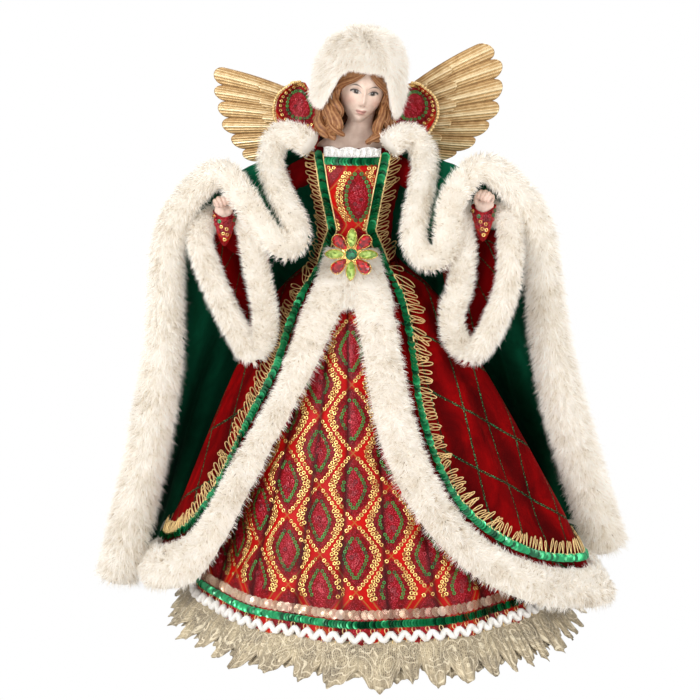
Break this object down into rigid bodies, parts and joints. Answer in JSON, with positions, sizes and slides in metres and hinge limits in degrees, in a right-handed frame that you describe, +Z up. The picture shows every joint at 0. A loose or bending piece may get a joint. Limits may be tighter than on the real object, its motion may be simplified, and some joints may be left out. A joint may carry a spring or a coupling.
{
  "type": "angel tree topper",
  "caption": "Christmas tree topper: a robed angel on a stiff skirt cone, with fur hat, fur-edged velvet cape, layered skirts, cast wings and hands, and a jewelled brooch.",
  "frame": {"origin": "middle of the underside of the whole figure, on the plane that it stands on", "axes": "+Z up along the figure, -Y to the front that the face and brooch look to, +X to the figure's left hand (the right of the picture)"},
  "size_m": [0.3582, 0.3076, 0.406],
  "materials": {
    "card": "stiff pressed card",
    "brocade": "red satin with ring-sequin embroidery",
    "paillette": "translucent paillettes on tape",
    "green_sequin": "overlapping sequins on tape",
    "white_braid": "brushed wavy braid",
    "burgundy_velvet": "velvet with a glitter lattice",
    "fur": "long pile faux fur",
    "gold_braid": "metallic thread loops and beads",
    "gold_lace": "metallic thread lace",
    "linen": "plain weave, stuffed",
    "lace": "white lace edging",
    "porcelain": "bisque, painted",
    "hair": "moulded curls, satin",
    "wire": "annealed wire",
    "gold": "matte antique gold",
    "steel": "plain",
    "emerald_stone": "faceted",
    "lime_stone": "faceted",
    "red_stone": "faceted",
    "green_velvet": "deep pile velvet"
  },
  "bodies": {
    "root": {"body_cone": "card", "cone_rim_ring": "card", "underskirt": "brocade", "bodice_panel": "brocade", "cuff_left": "brocade", "cuff_right": "brocade", "collar_left": "brocade", "collar_right": "brocade", "hem_paillette_ribbon": "paillette", "hem_sequin_band": "green_sequin", "overskirt_sequin_ribbon": "green_sequin", "neckline_sequin_ribbon": "green_sequin", "bodice_sequin_ribbon_left": "green_sequin", "bodice_sequin_ribbon_right": "green_sequin", "hem_ric_rac": "white_braid", "overskirt": "burgundy_velvet", "bodice": "burgundy_velvet", "sleeve_left": "burgundy_velvet", "sleeve_right": "burgundy_velvet", "overskirt_fur_edge": "fur", "hat": "fur", "cape_fur_left": "fur", "cape_fur_right": "fur", "cape_fur_hem": "fur", "sleeve_fur_left": "fur", "sleeve_fur_right": "fur", "overskirt_loop_braid": "gold_braid", "bodice_loop_braid_left": "gold_braid", "bodice_loop_braid_right": "gold_braid", "collar_beads_left": "gold_braid", "collar_beads_right": "gold_braid", "lace_ruffle": "gold_lace", "torso_form": "linen", "arm_padding_left": "linen", "arm_padding_right": "linen", "neckline_lace": "lace", "head_bust": "porcelain", "hand_left": "porcelain", "hand_right": "porcelain", "hair": "hair", "arm_wire_left": "wire", "arm_wire_right": "wire", "wing_left": "gold", "wing_right": "gold", "brooch_setting": "gold", "wing_plate": "steel", "wing_screw_left": "steel", "wing_screw_right": "steel", "brooch_center_stone": "emerald_stone", "brooch_navette_1": "lime_stone", "brooch_navette_2": "lime_stone", "brooch_navette_3": "lime_stone", "brooch_navette_4": "lime_stone", "brooch_pear_1": "red_stone", "brooch_pear_2": "red_stone", "brooch_pear_3": "red_stone", "brooch_pear_4": "red_stone", "cape": "green_velvet", "cape_drape_left": "green_velvet", "cape_drape_right": "green_velvet"}
  },
  "joints": []
}
